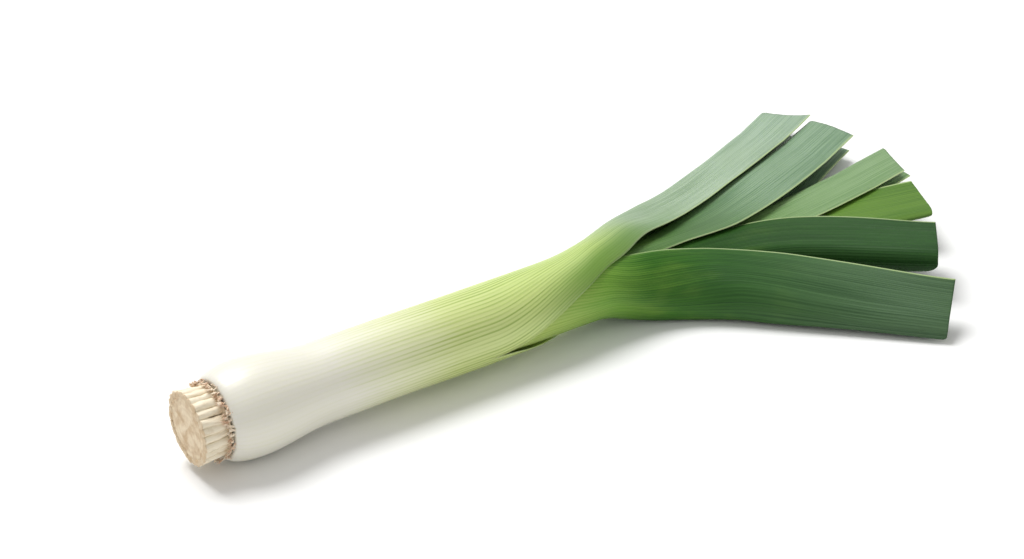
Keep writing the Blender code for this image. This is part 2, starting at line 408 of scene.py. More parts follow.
@dataclass(frozen=True)
class RootFinish:
    """Cream root stubs with tan cut ends and brown fibres."""

    name: str = "root_skin"
    cream: Colour = (0.864, 0.778, 0.605)
    tan: Colour = (0.626, 0.454, 0.270)
    brown: Colour = (0.389, 0.216, 0.108)
    cut_depth: float = 0.0007
    neck_span: Span = (0.0085, 0.0125)

    def make(self, face_x: float) -> Material:
        """Build the material.

        Args:
            face_x: Where the cut face lies along X.

        Returns:
            The finished material.
        """
        graph = Graph(self.name)
        place, x, y, z = graph.object_place(Vector((-face_x, 0.0, 0.0)))
        fibres = graph.grain(graph.vector(x * 90.0, y * 900.0, z * 900.0), 1.0, 3.0, 0.6)
        blotches = graph.grain(place, 260.0, 3.0, 0.6)
        cut = x.eased(self.cut_depth * 0.3, self.cut_depth, 1.0, 0.0)
        neck = x.eased(*self.neck_span)
        stain = blotches.eased(0.50, 0.72) * 0.35 + neck * blotches.eased(0.35, 0.60) * 0.6
        colour = graph.blend(fibres.eased(0.45, 0.75) * 0.35, self.cream, self.tan)
        colour = graph.blend(stain, colour, self.tan)
        colour = graph.blend(neck * fibres.eased(0.55, 0.75) * 0.6, colour, self.brown)
        colour = graph.blend(cut * blotches.eased(0.25, 0.65, 0.35, 0.9), colour, self.tan)
        graph.set_constants(
            Base_Color=colour,
            Roughness=fibres.eased(0.2, 0.8, 0.62, 0.85),
            Normal=graph.relief(fibres + blotches * 0.5, 0.0003, 0.7),
        )
        return graph.material


@dataclass(frozen=True)
class PlateFinish:
    """The rough, dry cut face of the root plate."""

    name: str = "plate_face"
    pale: Colour = (0.874, 0.739, 0.538)
    tan: Colour = (0.650, 0.482, 0.302)
    brown: Colour = (0.403, 0.246, 0.123)

    def make(self, centre: Vector) -> Material:
        """Build the material.

        Args:
            centre: The middle of the cut face.

        Returns:
            The finished material.
        """
        graph = Graph(self.name)
        place, _, y, z = graph.object_place(-centre)
        crumbs = graph.grain(place, 700.0, 4.0, 0.7)
        blotches = graph.grain(place, 210.0, 4.0, 0.6)
        radius = (y * y + z * z) ** 0.5
        rings = ((radius + (blotches - 0.5) * 0.003) * 2600.0).waves()
        colour = graph.blend(blotches.eased(0.35, 0.68), self.pale, self.tan)
        colour = graph.blend(crumbs.eased(0.56, 0.78) * 0.5, colour, self.brown)
        colour = graph.blend(rings * 0.16 * radius.eased(0.002, 0.010), colour, self.brown)
        graph.set_constants(
            Base_Color=colour,
            Roughness=crumbs.eased(0.2, 0.8, 0.75, 0.95),
            Normal=graph.relief(crumbs + blotches, 0.0005, 0.8),
        )
        return graph.material


@dataclass(frozen=True)
class ScaleFinish:
    """Dry, papery scales of withered sheath and root skin."""

    name: str = "dry_scale"
    straw: Colour = (0.84, 0.72, 0.56)
    rust: Colour = (0.62, 0.39, 0.25)

    def make(self) -> Material:
        """Build the material."""
        graph = Graph(self.name)
        place, *_ = graph.object_place(Vector())
        spots = graph.grain(place, 420.0, 3.0, 0.6)
        graph.set_constants(
            Base_Color=graph.blend(spots.eased(0.38, 0.66), self.straw, self.rust),
            Roughness=spots.eased(0.2, 0.8, 0.6, 0.85),
            Normal=graph.relief(spots, 0.0002, 0.5),
        )
        return graph.material


# --- The leek's form ---


class Rank(Enum):
    """The two sides of the leek that keels alternate between."""

    FAR = 1
    NEAR = -1


@dataclass(frozen=True)
class FanEdge:
    """One outer edge of the fan in plan: a point on it and its heading."""

    x: float
    y: float
    heading: float
    rank: Rank

    def inside(self, x: float, y: float) -> float:
        """Give how far a point of the plan lies inside the edge."""
        turn = math.radians(self.heading)
        return self.rank.value * ((x - self.x) * math.sin(turn) - (y - self.y) * math.cos(turn))


@dataclass(frozen=True)
class Build:
    """The sizes that all leaves share: the round shaft and the flat fan above it."""

    bulb_radius: float = 0.0205
    shaft_radius: float = 0.0170
    collar_radius: float = 0.0160
    bulb_peak: float = 0.0270
    neck_end: float = 0.0600
    leaf_start: float = 0.0125
    nest_step: float = 0.0020
    throat_lead_in: float = 0.020
    throat_start: float = 0.190
    throat_end: float = 0.300
    fan_half_height: float = 0.0125
    tip_half_height: float = 0.0090
    tip_nest_step: float = 0.0014
    tip_stretch: Span = (0.300, 0.380)
    rank_roll: float = 28.0
    roll_start: float = 0.185
    roll_end: float = 0.255
    near_edge: FanEdge = FanEdge(0.222, -0.019, -41.0, Rank.NEAR)
    far_edge: FanEdge = FanEdge(0.200, 0.016, 26.5, Rank.FAR)
    edge_margin: float = 0.005
    edge_flatness: float = 0.40
    edge_band: float = 0.045
    edge_stretch: Span = (0.215, 0.300)
    near_edge_height: float = 0.0040
    near_tip_height: float = 0.0020
    near_slope_at_throat: float = 0.75
    near_slope_at_tips: float = 0.50
    near_stretch: Span = (0.240, 0.340)
    far_edge_height: float = 0.0025
    far_slope: float = 0.10
    far_stretch: Span = (0.205, 0.365)
    ridge_rounding: float = 0.0030
    ridge_stretch: Span = (0.195, 0.250)

    def outer_radius(self, x: float) -> float:
        """Give the outer radius of the whole shaft at distance x from the root face."""
        if x < self.bulb_peak:
            share = (x - self.leaf_start) / (self.bulb_peak - self.leaf_start)
            share = min(max(share, 0.0), 1.0)
            return mix(self.collar_radius, self.bulb_radius, math.sqrt(share * (2.0 - share)))
        share = span_share(x, self.bulb_peak, self.neck_end)
        return mix(self.bulb_radius, self.shaft_radius, share)

    def fan_shape(self, x: float, y: float) -> tuple[float, float, float, float]:
        """Shape the fan over a point of the plan.

        Args:
            x: Distance from the root face.
            y: Distance to the far side of the shaft's axis.

        Returns:
            The fan's middle height, its half height, its flattening and the nest step.
        """
        near = max(self.near_edge.inside(x, y), -self.edge_margin)
        far = max(self.far_edge.inside(x, y), -self.edge_margin)
        slope_share = span_share(x, *self.near_stretch)
        slope = mix(self.near_slope_at_throat, self.near_slope_at_tips, slope_share)
        thin = span_share(x, *self.tip_stretch)
        near_face = mix(self.near_edge_height, self.near_tip_height, thin) + slope * near
        descent_start, descent_end = self.far_stretch
        descent = min(max((x - descent_start) / (descent_end - descent_start), 0.0), 1.0)
        far_face = mix(self.bulb_radius, self.far_edge_height + self.far_slope * far, descent)
        half_gap = (near_face - far_face) / 2.0
        ridge = (near_face + far_face) / 2.0 - math.hypot(half_gap, self.ridge_rounding)
        middle = mix(self.bulb_radius, ridge, span_share(x, *self.ridge_stretch))
        fan = span_share(x, self.throat_start, self.throat_end)
        full_height = mix(self.shaft_radius, self.fan_half_height, fan)
        half_height = mix(full_height, self.tip_half_height, thin)
        thin_edge = mix(self.edge_flatness, 1.0, smooth_step(min(near, far) / self.edge_band))
        flatness = mix(1.0, thin_edge, span_share(x, *self.edge_stretch))
        middle += (full_height - half_height) * flatness
        return middle, half_height, flatness, mix(self.nest_step, self.tip_nest_step, thin)


@dataclass
class Leaf:
    """One leaf: a tubular sheath that opens into a blade folded at the keel.

    Nest counts the leaves that hold this one.  Runs such as opens_at are
    measured along the leaf from the root face.  A side runs from -1 at the back
    margin over 0 at the keel to 1 at the front margin.
    """

    node: str
    slot: str
    rank: Rank
    nest: int
    opens_at: float
    full_open: float
    fold_start: float
    fold_end: float
    bend: Span
    heading: float
    length: float
    base_width: float
    tip_width: float
    belly: float
    back_extra: float
    front_beyond: float
    wrap: float
    finish: LeafFinish
    seed: float
    fold_radius: float = 0.0050
    back_beyond: float = -0.010
    wall: float = 0.0011
    full_wall_at: float = 0.0200
    margin_thinness: float = 0.32
    thin_margin: float = 0.12
    wall_change: Span = (-0.004, 0.002)
    seam_beyond: float = 0.001
    soft_swell: float = 0.00028
    rib_swell: float = 0.00012
    blade_swell: float = 0.0009
    blade_lead: Span = (-0.02, 0.05)
    across: int = 72
    along: int = 200
    sheath_keel_share: float = 0.50
    blade_keel_share: float = 0.25
    back_cut_share: float = 1.0 / 3.0
    stations: tuple[float, ...] = (0.0, 0.12, 0.20, 0.28, 0.62, 1.0)
    sizes: Build = field(default_factory=Build)
    path_step: float = 0.0005
    path: list[tuple[float, float]] = field(default_factory=list)

    def angle_at(self, travel: float) -> float:
        """Give the leaf's heading after a run along it."""
        return math.radians(self.heading) * span_share(travel, *self.bend)

    def walk(self) -> None:
        """Follow the leaf's axis in plan, in short steps, and keep the places."""
        x = self.sizes.leaf_start
        y = 0.0
        self.path = [(x, y)]
        steps = int((self.length + 0.03) / self.path_step)
        for index in range(steps):
            middle = self.sizes.leaf_start + (index + 0.5) * self.path_step
            angle = self.angle_at(middle)
            x += math.cos(angle) * self.path_step
            y += math.sin(angle) * self.path_step
            self.path.append((x, y))

    def axis_at(self, travel: float) -> tuple[float, float]:
        """Give the plan position of the leaf's axis after a run along it."""
        place = (travel - self.sizes.leaf_start) / self.path_step
        index = min(max(int(place), 0), len(self.path) - 2)
        share = place - index
        start = self.path[index]
        end = self.path[index + 1]
        return mix(start[0], end[0], share), mix(start[1], end[1], share)

    def half_section(self, side: float, travel: float, radius: float) -> tuple[float, float]:
        """Shape half of the leaf's cross-section.

        Args:
            side: The place across the leaf.
            travel: The run along the leaf from the root face.
            radius: The sheath's radius there.

        Returns:
            The distance from the keel in plan and the signed share of the half height.
        """
        fold = span_share(travel, self.fold_start, self.fold_end)
        reach = abs(side)
        opening = span_share(travel, self.opens_at, self.full_open)
        turn = reach * math.pi * mix(1.0, self.wrap, opening)
        fold_radius = mix(radius, self.fold_radius, fold)
        taper = span_share(travel, self.full_open, self.length)
        width = mix(self.base_width, self.tip_width, taper)
        width += 4.0 * self.belly * taper * (1.0 - taper)
        if side < 0.0:
            width += self.back_extra * taper
        keel_share = mix(self.sheath_keel_share, self.blade_keel_share, fold)
        keel_turn = math.pi / 2.0 * min(reach / keel_share, 1.0)
        flat_share = max(reach - keel_share, 0.0) / (1.0 - keel_share)
        blade_across = fold_radius * (1.0 - math.cos(keel_turn))
        blade_across += max(width - fold_radius, 0.0) * flat_share
        across = mix(radius * (1.0 - math.cos(turn)), blade_across, fold)
        rise = mix(math.sin(turn), math.sin(keel_turn), fold)
        return across, math.copysign(rise, side)

    def point(self, side: float, travel: float) -> Vector:
        """Give a point of the leaf's outer face, measured from the root face."""
        sizes = self.sizes
        rank = self.rank.value
        nest_share = self.nest * sizes.nest_step / sizes.shaft_radius
        radius = sizes.outer_radius(travel) * (1.0 - nest_share)
        across, rise = self.half_section(side, travel, radius)
        angle = self.angle_at(travel)
        x, y = self.axis_at(travel)
        x += math.sin(angle) * rank * across
        y += rank * (radius - math.cos(angle) * across)
        middle, half_height, flatness, nest_step = sizes.fan_shape(x, y)
        in_fan = span_share(travel, sizes.throat_start - sizes.throat_lead_in, sizes.throat_start)
        height = mix(radius, half_height - self.nest * nest_step, in_fan)
        height *= flatness * rise
        turned = 1.0 - span_share(x, sizes.roll_start, sizes.roll_end)
        roll = math.radians(sizes.rank_roll) * turned
        return Vector((
            x,
            y * math.cos(roll) - height * math.sin(roll),
            y * math.sin(roll) + height * math.cos(roll) + middle,
        ))

    def travel_at(self, side: float, share: float) -> float:
        """Give the run along the leaf at a share of its length, with the slanted cut."""
        start = self.sizes.leaf_start
        runs = (start, self.sizes.bulb_peak, self.sizes.neck_end,
                self.opens_at, self.fold_end, self.length)
        run = self.length
        for index, end in enumerate(self.stations[1:]):
            if share < end:
                low = self.stations[index]
                run = mix(runs[index], runs[index + 1], (share - low) / (end - low))
                break
        back = smooth_step(-side / self.back_cut_share)
        beyond = self.front_beyond * max(side, 0.0) + self.back_beyond * back
        past = max(run - self.fold_end, 0.0) / (self.length - self.fold_end)
        return run + beyond * past

    def swell(self, side: float, travel: float) -> float:
        """Give how far the living surface stands off the plain form."""
        place = Vector((side * 2.5, travel * 26.0, self.seed))
        soft = noise.noise(place) * self.soft_swell
        place = Vector((side * 24.0, travel * 4.0, self.seed + 5.0))
        ribs = noise.noise(place) * self.rib_swell
        place = Vector((side * 1.2, travel * 16.0, self.seed + 9.0))
        blade = span_share(travel - self.fold_end, *self.blade_lead)
        wave = noise.noise(place) * self.blade_swell * blade
        sizes = self.sizes
        return (soft + ribs + wave) * span_share(travel, sizes.leaf_start, sizes.bulb_peak)

    def build(self, origin: Vector, cut: Material) -> Object:
        """Bend a grid into the leaf, give it its wall and dress it.

        Args:
            origin: The frame's place for the middle of the root face at table height.
            cut: The material of the margins and the cut end.

        Returns:
            The finished piece.
        """
        self.walk()
        sheet = bmesh.new()
        bmesh.ops.create_grid(sheet, x_segments=self.across, y_segments=self.along, size=1.0)
        skin = sheet.loops.layers.uv.new("skin")
        flesh = sheet.verts.layers.deform.new()
        places = {}
        for vertex in sheet.verts:
            side = vertex.co.x
            travel = self.travel_at(side, (vertex.co.y + 1.0) / 2.0)
            places[vertex] = (side, travel)
            from_margin = min((1.0 - abs(side)) / self.thin_margin, 1.0)
            opened = span_share(travel - self.opens_at, *self.wall_change)
            seated = span_share(travel, self.sizes.leaf_start, self.full_wall_at)
            vertex[flesh][0] = mix(1.0, from_margin, opened) * seated
        for face in sheet.faces:
            for loop in face.loops:
                side, travel = places[loop.vert]
                loop[skin].uv = ((side + 1.0) / 2.0, travel / FULL_RUN)
        for vertex, (side, travel) in places.items():
            vertex.co = self.point(side, travel) + origin
        sheet.normal_update()
        outward = 1.0 if self.rank is Rank.FAR else -1.0
        shifts = {vertex: vertex.normal * self.swell(*places[vertex]) * outward
                  for vertex in sheet.verts}
        for vertex, shift in shifts.items():
            side, travel = places[vertex]
            if abs(side) <= MARGIN_SIDE or travel >= self.opens_at + self.seam_beyond:
                vertex.co += shift
        bmesh.ops.remove_doubles(sheet, verts=sheet.verts, dist=WELD)
        if self.rank is Rank.NEAR:
            bmesh.ops.reverse_faces(sheet, faces=sheet.faces)
        piece = add_piece(f"{self.node}_skin", sheet, (self.finish.make(), cut))
        piece.vertex_groups.new(name="flesh")
        wall = piece.modifiers.new("wall", "SOLIDIFY")
        wall.thickness = self.wall
        wall.vertex_group = "flesh"
        wall.thickness_vertex_group = self.margin_thinness
        wall.offset = -1.0
        wall.use_even_offset = True
        wall.material_offset_rim = 1
        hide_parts(self.node)
        return piece


def add_piece(
    name: str, builder: BMesh, materials: tuple[Material, ...]
) -> Object:
    """Wrap a finished bmesh in a smooth object that rides on the leek.

    Args:
        name: The piece's name.
        builder: The mesh, already in the frame's place.
        materials: The piece's materials, in slot order.

    Returns:
        The new object.
    """
    mesh = bpy.data.meshes.new(name)
    builder.to_mesh(mesh)
    builder.free()
    for material in materials:
        mesh.materials.append(material)
    mesh.shade_smooth()
    piece = bpy.data.objects.new(name, mesh)
    bpy.context.scene.collection.objects.link(piece)
    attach(piece, BODY)
    return piece


@dataclass
class RootPlate:
    """The hard disc under the bulb, cut flat across."""

    node: str = "root_plate"
    face_radius: float = 0.0141
    waist_radius: float = 0.0124
    rim_radius: float = 0.0155
    length: float = 0.0120
    side_shares: tuple[float, ...] = (0.08, 0.3, 0.6, 0.9)
    rim_share: float = 0.95
    face_rings: int = 14
    turns: int = 120
    seed: float = 3.0
    face_depth: float = 0.00035
    face_relief: float = 0.00030
    rim_depth: float = 0.00015
    side_relief: float = 0.05
    side_relief_from: Span = (0.004, 0.011)

    def build(self, face: Vector) -> Object:
        """Turn the plate and roughen its cut face and its sides.

        Args:
            face: The middle of the cut face.

        Returns:
            The finished piece.
        """
        plate = bmesh.new()
        rings = self.face_rings
        outline = [(0.0, self.face_radius * ring / rings) for ring in range(rings + 1)]
        outline += [(self.length * share, self.waist_radius) for share in self.side_shares]
        outline += [(self.length * self.rim_share, self.rim_radius)]
        outline += [(self.length, self.rim_radius), (self.length, 0.0)]
        corners = [plate.verts.new((x, 0.0, radius)) for x, radius in outline]
        edges = [plate.edges.new(pair) for pair in zip(corners, corners[1:])]
        bmesh.ops.spin(plate, geom=corners + edges, cent=(0.0, 0.0, 0.0), axis=(1.0, 0.0, 0.0),
                       angle=math.tau, steps=self.turns, use_merge=True)
        bmesh.ops.remove_doubles(plate, verts=plate.verts, dist=0.00001)
        bmesh.ops.recalc_face_normals(plate, faces=plate.faces)
        for vertex in plate.verts:
            self._roughen(vertex)
        bmesh.ops.translate(plate, verts=plate.verts, vec=face)
        piece = add_piece("root_plate_face", plate, (PlateFinish().make(face),))
        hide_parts(self.node)
        return piece

    def _roughen(self, vertex: bmesh.types.BMVert) -> None:
        """Give one point of the turned plate its torn, dry unevenness."""
        radius = math.hypot(vertex.co.y, vertex.co.z)
        place = Vector((vertex.co.x * 300.0, vertex.co.y * 520.0, vertex.co.z * 520.0))
        place += Vector((self.seed, 0.0, 0.0))
        if vertex.co.x < 0.0001:
            rim = span_share(radius, self.face_radius * 0.75, self.face_radius)
            vertex.co.x += self.face_depth + noise.noise(place) * self.face_relief
            vertex.co.x += rim * self.rim_depth
        off_middle = span_share(radius, *self.side_relief_from)
        stretch = 1.0 + noise.noise(place * 0.6) * self.side_relief * off_middle
        vertex.co.y *= stretch
        vertex.co.z *= stretch


@dataclass
class RootRing:
    """The ring of cut root stubs around the plate."""

    count: int = 26
    ring_radius: float = 0.0144
    radius: float = 0.00172
    length: float = 0.0124
    sides: int = 14
    steps: int = 12
    lean: float = 5.0
    girths: Span = (0.88, 1.12)
    bow: float = 0.00035
    ridges: float = 0.30
    knots: float = 0.16
    far_end: float = 0.90
    flatness: Span = (1.10, 0.86)
    cap_inset: float = 0.35
    cut_depth: float = 0.00015
    cut_relief: float = 0.00025
    straying: float = 0.07
    ring_play: float = 0.00025

    def build(self, face: Vector) -> list[Object]:
        """Build every stub.

        Args:
            face: The middle of the plate's cut face.

        Returns:
            The stubs, in the frame's order.
        """
        chance = random.Random(41)
        finish = RootFinish().make(face.x)
        stubs = []
        for index in range(self.count):
            stub = self._stub(chance)
            around = math.tau * index / self.count
            self._stand(stub, around, face, chance)
            piece = add_piece(f"root_stub_{index + 1:02d}", stub, (finish,))
            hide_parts(f"root_{index + 1:02d}")
            stubs.append(piece)
        return stubs

    def _stub(self, chance: random.Random) -> BMesh:
        """Make one stub along +Z: an uneven, ribbed and slightly bent rod."""
        stub = bmesh.new()
        bmesh.ops.create_cone(stub, cap_ends=True, segments=self.sides, radius1=self.radius,
                              radius2=self.radius, depth=self.length)
        bmesh.ops.translate(stub, verts=stub.verts, vec=(0.0, 0.0, self.length / 2.0))
        uprights = [edge for edge in stub.edges
                    if abs(edge.verts[0].co.z - edge.verts[1].co.z) > self.length / 2.0]
        bmesh.ops.subdivide_edges(stub, edges=uprights, cuts=self.steps, use_grid_fill=True)
        caps = [face for face in stub.faces if len(face.verts) == self.sides]
        bmesh.ops.inset_individual(stub, faces=caps, thickness=self.radius * self.cap_inset)
        seed = chance.uniform(0.0, 100.0)
        girth = chance.uniform(*self.girths)
        bow = chance.uniform(-self.bow, self.bow)
        for vertex in stub.verts:
            share = vertex.co.z / self.length
            around = math.atan2(vertex.co.y, vertex.co.x)
            ridge = noise.noise(Vector((math.cos(around) * 1.4, math.sin(around) * 1.4,
                                        share * 1.6 + seed)))
            knot = noise.noise(Vector((share * 5.0, seed, 2.0)))
            scale = girth * (1.0 + ridge * self.ridges + knot * self.knots)
            scale *= mix(1.0, self.far_end, share)
            vertex.co.x *= scale * self.flatness[0]
            vertex.co.y *= scale * self.flatness[1]
            vertex.co.x += bow * math.sin(share * math.pi)
            if share < 0.01:
                vertex.co.z += noise.noise(vertex.co * 900.0) * self.cut_relief + self.cut_depth
        return stub

    def _stand(self, stub: BMesh, around: float, face: Vector,
               chance: random.Random) -> None:
        """Turn a stub into its place in the ring, leaning with the others."""
        outward = Vector((0.0, math.sin(around), math.cos(around)))
        sideways = outward.cross(Vector((1.0, 0.0, 0.0)))
        lean = Vector((1.0, 0.0, 0.0)) - outward * math.tan(math.radians(self.lean))
        lean += sideways * chance.uniform(-self.straying, self.straying)
        lean.normalize()
        tangent = lean.cross(outward).normalized()
        turned = Matrix((tangent, lean.cross(tangent), lean)).transposed().to_4x4()
        radius = self.ring_radius + chance.uniform(-self.ring_play, self.ring_play)
        place = face + outward * radius
        bmesh.ops.transform(stub, matrix=Matrix.Translation(place) @ turned, verts=stub.verts)


@dataclass
class CollarScales:
    """Small dry scales where the roots meet the bulb."""

    count: int = 220
    collar_x: float = 0.0122
    radius: float = 0.0164
    widths: Span = (0.0005, 0.0015)
    lengths: Span = (0.0012, 0.0040)
    curls: Span = (0.2, 1.1)
    radius_play: Span = (-0.0011, 0.0002)
    lengthwise_play: Span = (-0.0020, 0.0012)
    forward_share: float = 0.35
    thickness: float = 0.00018

    def build(self, face: Vector) -> Object:
        """Lay curled scales all round the collar.

        Args:
            face: The middle of the plate's cut face.

        Returns:
            The finished piece.
        """
        chance = random.Random(7)
        ring = bmesh.new()
        for index in range(self.count):
            scale = bmesh.ops.create_grid(ring, x_segments=2, y_segments=4, size=0.5)["verts"]
            width = chance.uniform(*self.widths)
            length = chance.uniform(*self.lengths)
            curl = chance.uniform(*self.curls)
            for vertex in scale:
                share = vertex.co.y + 0.5
                narrow = 1.0 - 0.75 * share * share
                bent = curl * share
                vertex.co = Vector((vertex.co.x * width * narrow, share * length * math.cos(bent),
                                    share * length * math.sin(bent) * 0.45))
            around = math.tau * (index + chance.uniform(-0.4, 0.4)) / self.count
            outward = Vector((0.0, math.sin(around), math.cos(around)))
            forward = 1.0 if chance.random() < self.forward_share else -1.0
            lengthwise = Vector((forward, 0.0, 0.0)) + outward * chance.uniform(0.0, 0.25)
            lengthwise += outward.cross(Vector((1.0, 0.0, 0.0))) * chance.uniform(-0.5, 0.5)
            lengthwise.normalize()
            across = lengthwise.cross(outward).normalized()
            axes = Matrix((across, lengthwise, across.cross(lengthwise))).transposed().to_4x4()
            place = face + outward * (self.radius + chance.uniform(*self.radius_play))
            place.x += self.collar_x + chance.uniform(*self.lengthwise_play)
            bmesh.ops.transform(ring, matrix=Matrix.Translation(place) @ axes, verts=scale)
        piece = add_piece("collar_scales", ring, (ScaleFinish().make(),))
        paper = piece.modifiers.new("paper", "SOLIDIFY")
        paper.thickness = self.thickness
        paper.offset = 0.0
        return piece


# --- Leaves, outermost first ---

OUTER_FAR_FINISH = LeafFinish(
    name="outer_far_leaf",
    stops=(
        (0.15, (0.775, 0.76, 0.65), (0.74, 0.73, 0.58)),
        (0.215, (0.72, 0.74, 0.48), (0.53, 0.59, 0.23)),
        (0.28, (0.60, 0.67, 0.27), (0.30, 0.41, 0.06)),
        (0.36, (0.56, 0.67, 0.22), (0.23, 0.365, 0.035)),
        (0.47, (0.48, 0.61, 0.18), (0.19, 0.33, 0.04)),
        (0.56, (0.289, 0.403, 0.192), (0.144, 0.251, 0.112)),
        (1.0, (0.236, 0.35, 0.216), (0.137, 0.236, 0.144)),
    ),
    bloom_colour=(0.35, 0.464, 0.36), bloom=0.62, bloom_span=(0.47, 0.60),
    patch_depth=0.0, margin_green_and_shade=0.90, margin_span=(0.36, 0.46),
    vein_depth=0.95, streak_depth=0.55, gloss=0.85,
)
# The near leaves' greens are partly their own darker green and partly painted shade: they are
# darkened for the near side of the fan, which is turned from the key light.
OUTER_NEAR_FINISH = LeafFinish(
    name="outer_near_leaf",
    stops=(
        (0.22, (0.76, 0.78, 0.56), (0.58, 0.62, 0.30)),
        (0.38, (0.42, 0.54, 0.14), (0.26, 0.40, 0.06)),
        (0.47, (0.187, 0.368, 0.049), (0.101, 0.258, 0.021)),
        (0.53, (0.045, 0.155, 0.012), (0.02, 0.094, 0.006)),
        (0.60, (0.032, 0.113, 0.017), (0.012, 0.061, 0.008)),
        (0.78, (0.063, 0.125, 0.048), (0.027, 0.07, 0.026)),
        (1.0, (0.061, 0.121, 0.049), (0.028, 0.069, 0.027)),
    ),
    bloom_colour=(0.113, 0.197, 0.12), bloom=0.40, bloom_span=(0.58, 0.80),
    patch_depth=0.30, patch_span=(0.54, 0.72), gloss=0.22,
)
SECOND_FAR_FINISH = LeafFinish(
    name="second_far_leaf",
    stops=(
        (0.40, (0.44, 0.55, 0.16), (0.28, 0.40, 0.08)),
        # The dark stops at 0.52 and 0.62 are painted shadow of the outer far leaf, which lies over
        # the blade's foot.
        (0.52, (0.096, 0.216, 0.035), (0.04, 0.12, 0.014)),
        (0.62, (0.084, 0.182, 0.053), (0.038, 0.106, 0.023)),
        (0.74, (0.137, 0.251, 0.114), (0.068, 0.16, 0.068)),
        (1.0, (0.16, 0.274, 0.152), (0.091, 0.182, 0.099)),
    ),
    bloom_colour=(0.289, 0.403, 0.281), bloom=0.55, bloom_span=(0.64, 0.78),
    patch_depth=0.20, patch_span=(0.55, 0.68),
)
# Like the outer near leaf, this leaf's green is partly its own dark green and partly painted shade
# of the near side turned from the key light.
SECOND_NEAR_FINISH = LeafFinish(
    name="second_near_leaf",
    stops=(
        (0.40, (0.42, 0.53, 0.14), (0.26, 0.38, 0.07)),
        (0.52, (0.044, 0.14, 0.01), (0.022, 0.086, 0.005)),
        (0.62, (0.022, 0.08, 0.01), (0.009, 0.047, 0.005)),
        (1.0, (0.019, 0.066, 0.013), (0.008, 0.037, 0.008)),
    ),
    bloom_colour=(0.039, 0.114, 0.037), bloom=0.30, bloom_span=(0.60, 0.85),
    patch_depth=0.25, patch_span=(0.58, 0.76), gloss=0.16,
)
THIRD_FAR_FINISH = LeafFinish(
    name="third_far_leaf",
    stops=(
        (0.40, (0.46, 0.56, 0.18), (0.30, 0.42, 0.08)),
        (0.55, (0.128, 0.248, 0.048), (0.056, 0.152, 0.016)),
        (0.68, (0.152, 0.28, 0.08), (0.08, 0.184, 0.04)),
        (1.0, (0.184, 0.312, 0.128), (0.104, 0.208, 0.072)),
    ),
    bloom_colour=(0.304, 0.424, 0.256), bloom=0.45, bloom_span=(0.64, 0.84),
    patch_depth=0.10, gloss=0.40,
)
HEART_FINISH = LeafFinish(
    name="heart_leaf_finish",
    stops=(
        (0.40, (0.50, 0.60, 0.20), (0.32, 0.44, 0.10)),
        (0.60, (0.123, 0.244, 0.022), (0.05, 0.148, 0.009)),
        (1.0, (0.086, 0.192, 0.019), (0.04, 0.115, 0.01)),
    ),
    bloom_colour=(0.144, 0.252, 0.056), bloom=0.20,
    patch_depth=0.0, gloss_roughness=0.46, gloss=0.30,
)

LEAVES = (
    Leaf(
        node="outer_leaf_far", slot="outer_leaf", rank=Rank.FAR, nest=0,
        opens_at=0.136, full_open=0.202, fold_start=0.200, fold_end=0.262,
        bend=(0.168, 0.229), heading=27.0, length=0.410,
        base_width=0.0258, tip_width=0.0302, belly=-0.0004, back_extra=-0.0040,
        front_beyond=-0.007, wrap=0.59, finish=OUTER_FAR_FINISH, seed=11.0,
    ),
    Leaf(
        node="outer_leaf_near", slot="dark_leaf", rank=Rank.NEAR, nest=1,
        opens_at=0.162, full_open=0.214, fold_start=0.200, fold_end=0.280,
        bend=(0.187, 0.266), heading=-44.2, length=0.347,
        base_width=0.0249, tip_width=0.0222, belly=0.0025, back_extra=0.0020,
        front_beyond=0.002, wrap=0.56, finish=OUTER_NEAR_FINISH, seed=23.0,
    ),
    Leaf(
        node="second_leaf_far", slot="bloom_leaf", rank=Rank.FAR, nest=2,
        opens_at=0.174, full_open=0.222, fold_start=0.208, fold_end=0.280,
        bend=(0.206, 0.244), heading=23.0, length=0.410,
        base_width=0.0268, tip_width=0.0322, belly=0.0036, back_extra=-0.0040,
        front_beyond=-0.016, wrap=0.55, finish=SECOND_FAR_FINISH, seed=37.0,
    ),
    Leaf(
        node="second_leaf_near", slot="dark_leaf", rank=Rank.NEAR, nest=3,
        opens_at=0.185, full_open=0.232, fold_start=0.220, fold_end=0.300,
        bend=(0.222, 0.340), heading=-46.0, length=0.358,
        base_width=0.0220, tip_width=0.0297, belly=0.0075, back_extra=0.0,
        front_beyond=-0.003, wrap=0.55, finish=SECOND_NEAR_FINISH, seed=41.0,
    ),
    Leaf(
        node="third_leaf_far", slot="bloom_leaf", rank=Rank.FAR, nest=4,
        opens_at=0.190, full_open=0.236, fold_start=0.228, fold_end=0.310,
        bend=(0.222, 0.244), heading=9.0, length=0.403,
        base_width=0.0185, tip_width=0.0268, belly=0.0038, back_extra=-0.0020,
        front_beyond=-0.018, wrap=0.55, finish=THIRD_FAR_FINISH, seed=53.0,
    ),
    Leaf(
        node="heart_leaf", slot="heart_leaf", rank=Rank.NEAR, nest=5,
        opens_at=0.200, full_open=0.246, fold_start=0.240, fold_end=0.335,
        bend=(0.235, 0.340), heading=-17.7, length=0.372,
        base_width=0.0135, tip_width=0.0332, belly=0.0080, back_extra=0.0,
        front_beyond=0.005, wrap=0.55, finish=HEART_FINISH, seed=67.0,
    ),
)


# --- Studio ---


@dataclass(frozen=True)
class SoftLight:
    """A large soft area light aimed at the leek."""

    name: str
    azimuth: float
    elevation: float
    distance: float
    size: float
    power: float
    colour: Colour = (1.0, 1.0, 1.0)

    def build(self, aim: Vector) -> Object:
        """Hang the light."""
        lamp = bpy.data.lights.new(self.name, "AREA")
        lamp.shape = "DISK"
        lamp.size = self.size
        lamp.energy = self.power
        lamp.color = self.colour
        return hang(lamp, aim, self.azimuth, self.elevation, self.distance)


